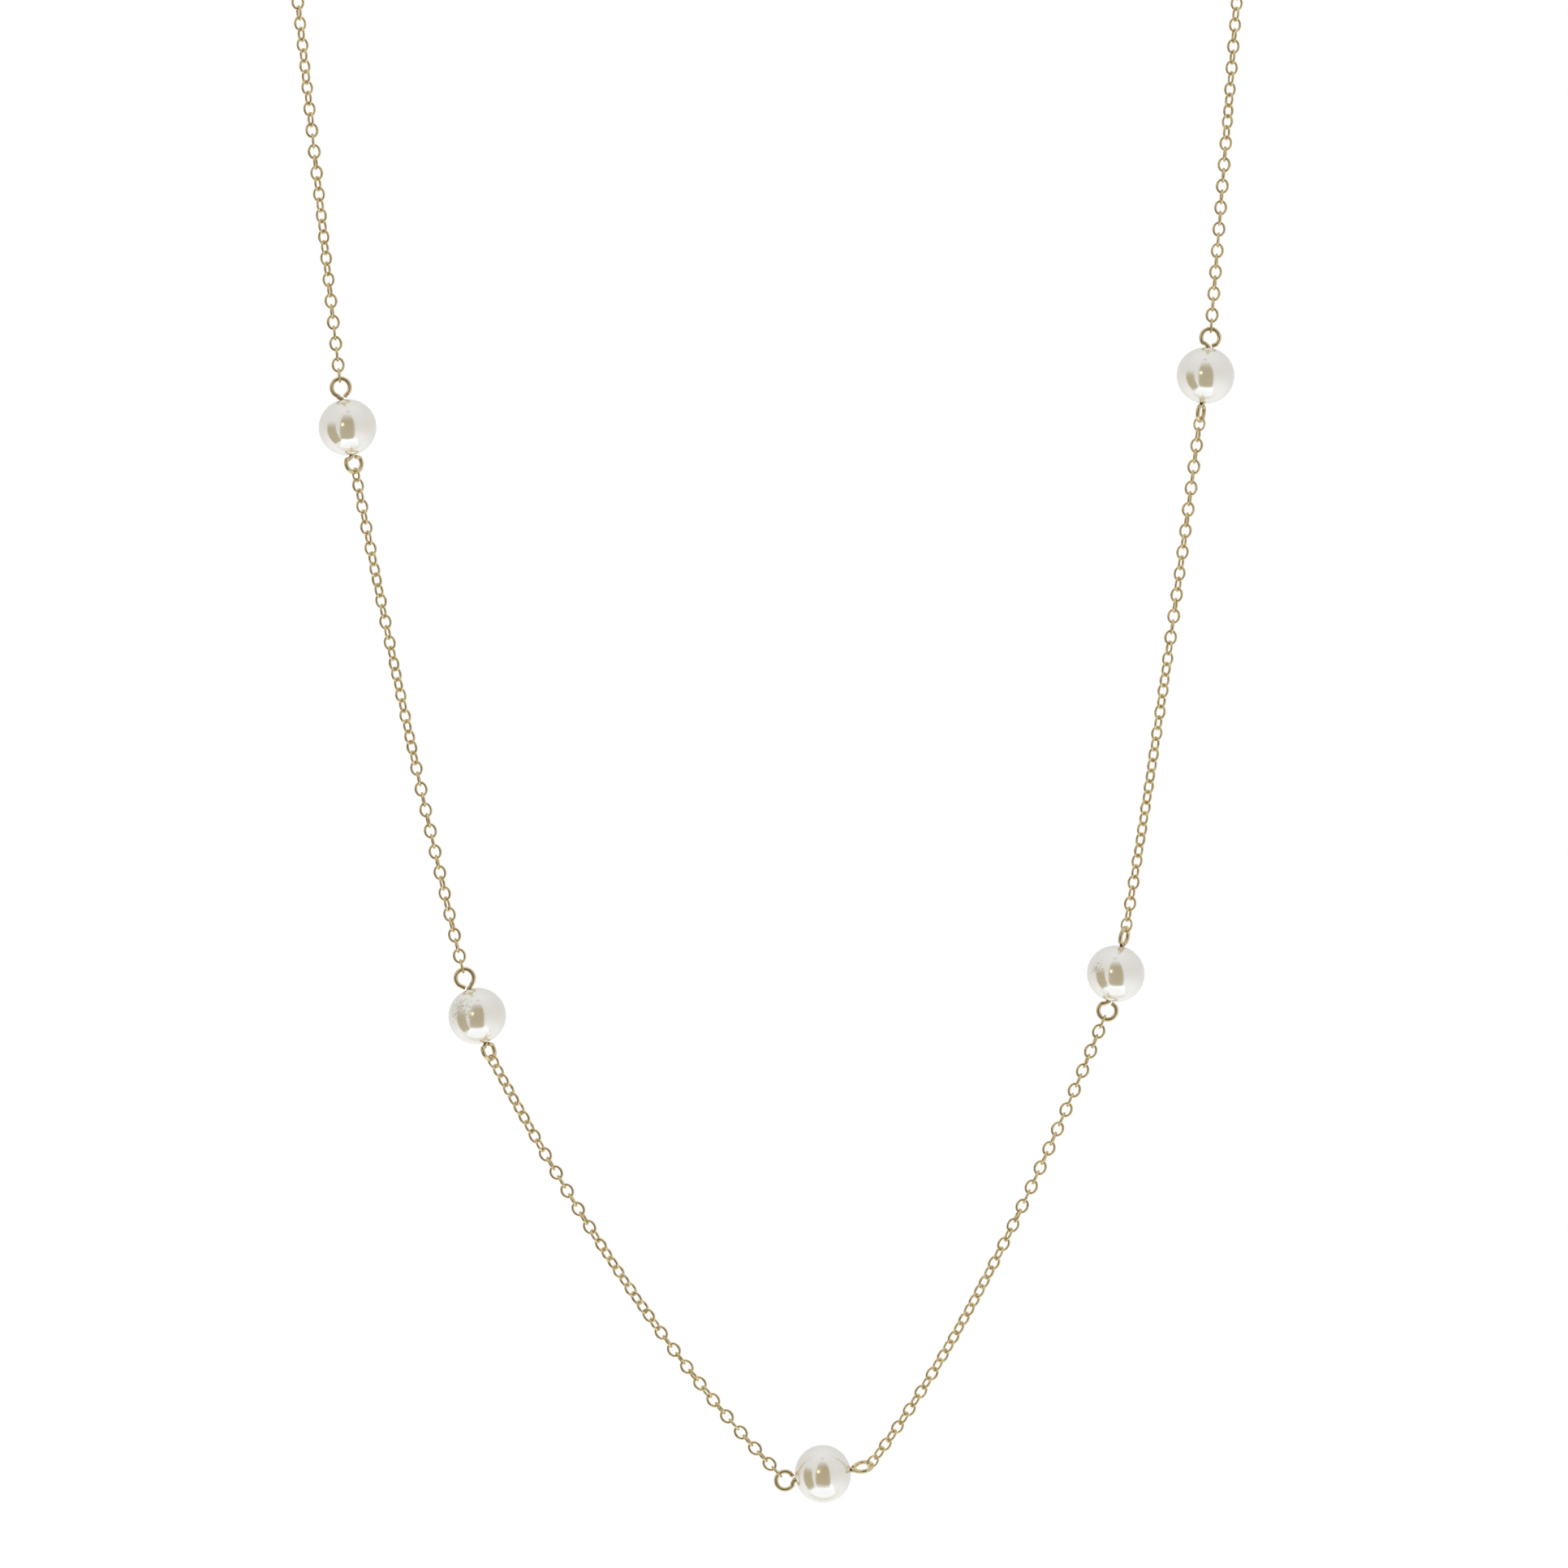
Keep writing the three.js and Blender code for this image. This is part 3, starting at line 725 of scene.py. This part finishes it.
def finished(piece, name, origin, material, turn=0.0):
    """A piece drawn in millimetres, named, in its place and with its material."""
    piece.name = piece.data.name = name
    piece.data.transform(Matrix.Translation(origin) @ Matrix.Rotation(turn, 4, "Z") @ Matrix.Scale(MM, 4))
    piece.data.polygons.foreach_set("use_smooth", [True] * len(piece.data.polygons))
    piece.data.set_sharp_from_angle(angle=math.radians(40))
    piece.data.materials.clear()
    piece.data.materials.append(material)
    modifier = piece.modifiers.new("flat_faces", "WEIGHTED_NORMAL")
    modifier.weight = 100
    modifier.keep_sharp = True
    evaluated = piece.evaluated_get(bpy.context.evaluated_depsgraph_get())
    piece.data = bpy.data.meshes.new_from_object(evaluated)
    piece.modifiers.clear()
    return piece


def clasp_body(origin):
    """The hook with its slot, and the flat eye at its tail."""
    hook = [(1.9, -0.95), *bend((1.9, -0.95), (3.2, -2.1), (5.0, -2.1))]
    hook += arc(*HOOK["centre"], HOOK["outer"], -90, 80, 40)
    hook += arc(*HOOK["centre"], HOOK["inner"], 80, -90, 30)
    hook += [(5.7, -1.2), *bend((5.7, -1.2), (4.95, -1.0), (4.9, 0)), (4.7, 1.55)]
    hook += bend((4.7, 1.55), (3.0, 1.9), (1.9, 0.95))
    body = rounded_plate(hook, None, HOOK["thickness"], HOOK["edge"])
    rim, hole = circle(EYE["centre"], EYE["radius"], 45), circle(EYE["centre"], EYE["hole"])
    eye = rounded_plate(rim, hole, EYE["thickness"], EYE["edge"])
    body = combine(body, "DIFFERENCE", rod(EYE["centre"], EYE["hole"]))
    body = combine(body, "UNION", eye)
    body = combine(body, "DIFFERENCE", box(*LEVER_SLOT))
    body = combine(body, "DIFFERENCE", rod(RIVET["centre"], RIVET["radius"]))
    body = finished(body, "clasp_hook", origin, CLASP_GOLD)
    settle(body, "clasp", "clasp_metal", "clasp_body")


def clasp_lever(origin):
    """The lever that closes the hook, drilled for its rivet, with a thumb piece above the body."""
    arm = [(3.35, 0.75), *bend((3.35, 0.75), (3.2, 1.6), (3.45, 2.75))]
    arm += bend((3.45, 2.75), (3.9, 3.05), (4.4, 2.7)) + bend((4.4, 2.7), (4.6, 2.0), (5.4, 1.95))
    arm += [(8.0, 2.05), (7.9, 1.25), *bend((7.9, 1.25), (6.0, 1.25), (4.75, 0.6))]
    arm += bend((4.75, 0.6), (4.0, -0.1), (3.35, 0.75))[:-1]
    hole = circle(RIVET["centre"], RIVET["radius"])
    lever = rounded_plate(arm, hole, LEVER["thickness"], LEVER["edge"], LEVER["middle"])
    lever = finished(lever, "clasp_thumb_lever", origin, CLASP_GOLD)
    settle(lever, "clasp_lever", "clasp_metal", "clasp_lever")


def clasp_rivet(origin):
    """A pin through body and lever with domed heads."""
    # Half of it, from its middle: how far out along Y, and the radius there
    half = [(0.0, 0.3), (0.9, 0.3), (0.95, 0.28), (0.98, 0.24), (0.995, 0.17), (1.0, 0.06)]
    profile = [(-y, radius) for y, radius in reversed(half[1:])] + half[1:]
    shell = Shell()
    rings = [[(x, y, z) for x, z in circle(RIVET["centre"], radius)] for y, radius in profile]
    shell.rings(rings, closed=False)
    rivet = finished(shell.piece("rivet", CLASP_GOLD), "clasp_rivet_pin", origin, CLASP_GOLD)
    settle(rivet, "clasp", "clasp_metal", "clasp_rivet")


def clasp_coil(origin):
    """The return spring, round the rivet beside the lever."""
    (x, z), radius = RIVET["centre"], COIL["radius"]
    path = []
    for turn in np.linspace(0, COIL["turns"], 90):
        angle = 2 * math.pi * turn
        y = COIL["start"] + COIL["pitch"] * turn
        path.append((x + radius * math.cos(angle), y, z + radius * math.sin(angle)))
    shell = Shell()
    shell.tube(path, COIL["wire"] / 2, 10)
    coil = finished(shell.piece("coil", STEEL), "clasp_coil", origin, STEEL)
    settle(coil, "clasp", "spring_steel", "clasp_spring")


def clasp_pieces():
    """A lobster clasp. Its roll joint is at the middle of its eye."""
    origin = Vector(joint("clasp_roll")["pos_m"]) - Vector((EYE["radius"] * MM, 0, 0))
    for part in (clasp_body, clasp_lever, clasp_rivet, clasp_coil):
        part(origin)


def tag_piece():
    """A blank drop-shaped tag, hung by its hole and facing sideways."""
    top, wide = TAG["shoulder"], TAG["foot"]
    foot = arc(0, wide - TAG["height"] + top, wide, 162, 378, 50)
    drop = arc(0, 0, top, 0, 180, 30) + bend((-top, 0), (-1.2, -0.95), foot[0])[:-1]
    drop += foot + bend(foot[-1], (1.2, -0.95), (top, 0))[:-1]
    tag = rounded_plate(drop, circle((0, 0), TAG["hole"]), TAG["thickness"], TAG["edge"])
    points = node_points("end_tag")
    middle = (points.max(0) + points.min(0)) / 2
    origin = Vector((middle[0], middle[1], points[:, 2].max() - top * MM))
    tag = finished(tag, "end_tag_drop", origin, CLASP_GOLD, math.pi / 2)
    settle(tag, "end_tag", "clasp_metal", "end_tag")


# ---- Stage and light ----
def add_plane(name, width, height, location, facing, material):
    """A rectangle that faces a direction."""
    mesh = bpy.data.meshes.new(name)
    w, h = width / 2, height / 2
    mesh.from_pydata([(-w, -h, 0), (w, -h, 0), (w, h, 0), (-w, h, 0)], [], [(0, 1, 2, 3)])
    mesh.materials.append(material)
    plane = bpy.data.objects.new(name, mesh)
    plane.location = location
    plane.rotation_euler = Vector(facing).to_track_quat("Z", "Y").to_euler()
    bpy.context.scene.collection.objects.link(plane)
    return plane


def around(azimuth, elevation, distance):
    """A place seen from the subject: azimuth from straight ahead of it, positive to the left."""
    a, e = math.radians(azimuth), math.radians(elevation)
    way = Vector((-math.sin(a) * math.cos(e), -math.cos(a) * math.cos(e), math.sin(e)))
    return SUBJECT + distance * way


def dark_card(name, azimuth, elevation, distance, width, height, paint, top=1.0):
    """A card that faces the subject and only shows as a reflection. top is how wide its top is
    against its foot."""
    location = around(azimuth, elevation, distance)
    card = add_plane(name, width, height, location, SUBJECT - location, paint)
    for vertex in card.data.vertices:
        if vertex.co.y > 0:
            vertex.co.x *= top
    card.visible_camera = False
    card.visible_diffuse = False
    card.visible_shadow = False


def card_paint(name, colour, fade=None):
    """Matt card. With a fade it pales from that share of its height up to its top."""
    nodes = Nodes(name)
    paint = nodes.ramp(nodes.noise(0.2, 2), (0.3, tuple(c * 0.9 for c in colour)), (0.7, colour))
    if fade:
        paint = nodes.pale_above(paint, fade)
    nodes.link(paint, nodes.shader.inputs["Base Color"])
    nodes.set(Roughness=0.9)
    return nodes.material


def soft_light(name, azimuth, elevation, distance, size, radiance, colour):
    """A rectangular light that faces the subject, and that the camera doesn't see."""
    data = bpy.data.lights.new(name, "AREA")
    data.shape = "RECTANGLE"
    data.size, data.size_y = size
    data.energy = radiance * math.pi * size[0] * size[1]
    data.color = colour
    light = bpy.data.objects.new(name, data)
    light.location = around(azimuth, elevation, distance)
    light.visible_camera = False
    light.rotation_euler = (light.location - SUBJECT).to_track_quat("Z", "Y").to_euler()
    bpy.context.scene.collection.objects.link(light)


def add_world():
    """A white tent for what it lights and shows in, plain white where the camera sees it."""
    world = bpy.data.worlds.new("tent")
    bpy.context.scene.world = world
    world.use_nodes = True
    tree = world.node_tree
    place = tree.nodes.new("ShaderNodeTexCoord")
    split = tree.nodes.new("ShaderNodeSeparateXYZ")
    height = tree.nodes.new("ShaderNodeMapRange")
    ramp = tree.nodes.new("ShaderNodeValToRGB")
    seen = tree.nodes.new("ShaderNodeLightPath")
    height.inputs["From Min"].default_value = -1
    fill_ramp(ramp, [(position, (value, value, value)) for position, value in TENT])
    tree.links.new(place.outputs["Generated"], split.inputs["Vector"])
    tree.links.new(split.outputs["Z"], height.inputs["Value"])
    tree.links.new(height.outputs["Result"], ramp.inputs["Fac"])
    colour = mix_colours(tree, seen.outputs["Is Camera Ray"], ramp.outputs["Color"], (1, 1, 1))
    tree.links.new(colour, tree.nodes["Background"].inputs["Color"])


def add_stage():
    """A floor well below the object, and what the pearls mirror: three cards and two lights, each with
    its azimuth, elevation, distance and size."""
    under = (0, 0.03, CAD_BOX[0][2] - FLOOR_DROP)
    add_plane("floor", FLOOR_SIZE, FLOOR_SIZE, under, (0, 0, 1), floor_material())
    taupe, grey = card_paint("card_taupe", TAUPE, 0.70), card_paint("card_grey", GREY)
    dark_card("front_card", 0, 0, 1.25, 1.86, 3.40, taupe, 0.52)
    dark_card("side_card", 67, -17.5, 0.62, 0.47, 0.95, taupe)
    dark_card("boom_card", 0, 67, 0.9, 0.15, 0.10, grey)
    soft_light("key", 19, 10, 1.1, (0.16, 0.20), 3.2, (1.0, 0.80, 0.38))
    soft_light("foot", -4, -76, 0.30, (0.36, 0.29), 0.48, (0.92, 0.97, 1.0))


front_chains()
neck_chains()
for station_name, (loop_reach, loop_turns) in STATIONS.items():
    pearl_piece(station_name)
    pin_piece(station_name, loop_reach, loop_turns)
ring_piece("clasp_jump_ring", "neck", slit=0.05)
ring_piece("extension_jump_ring", "neck", slit=0.04)
for number in range(1, 10):
    ring_piece(f"extension_link_{number}", f"extension_link_{number}", seam=0.06)
ring_piece("end_ring", "end_ring", slit=0.05)
clasp_pieces()
tag_piece()
add_world()
add_stage()
bpy.context.scene.view_settings.view_transform = "Standard"
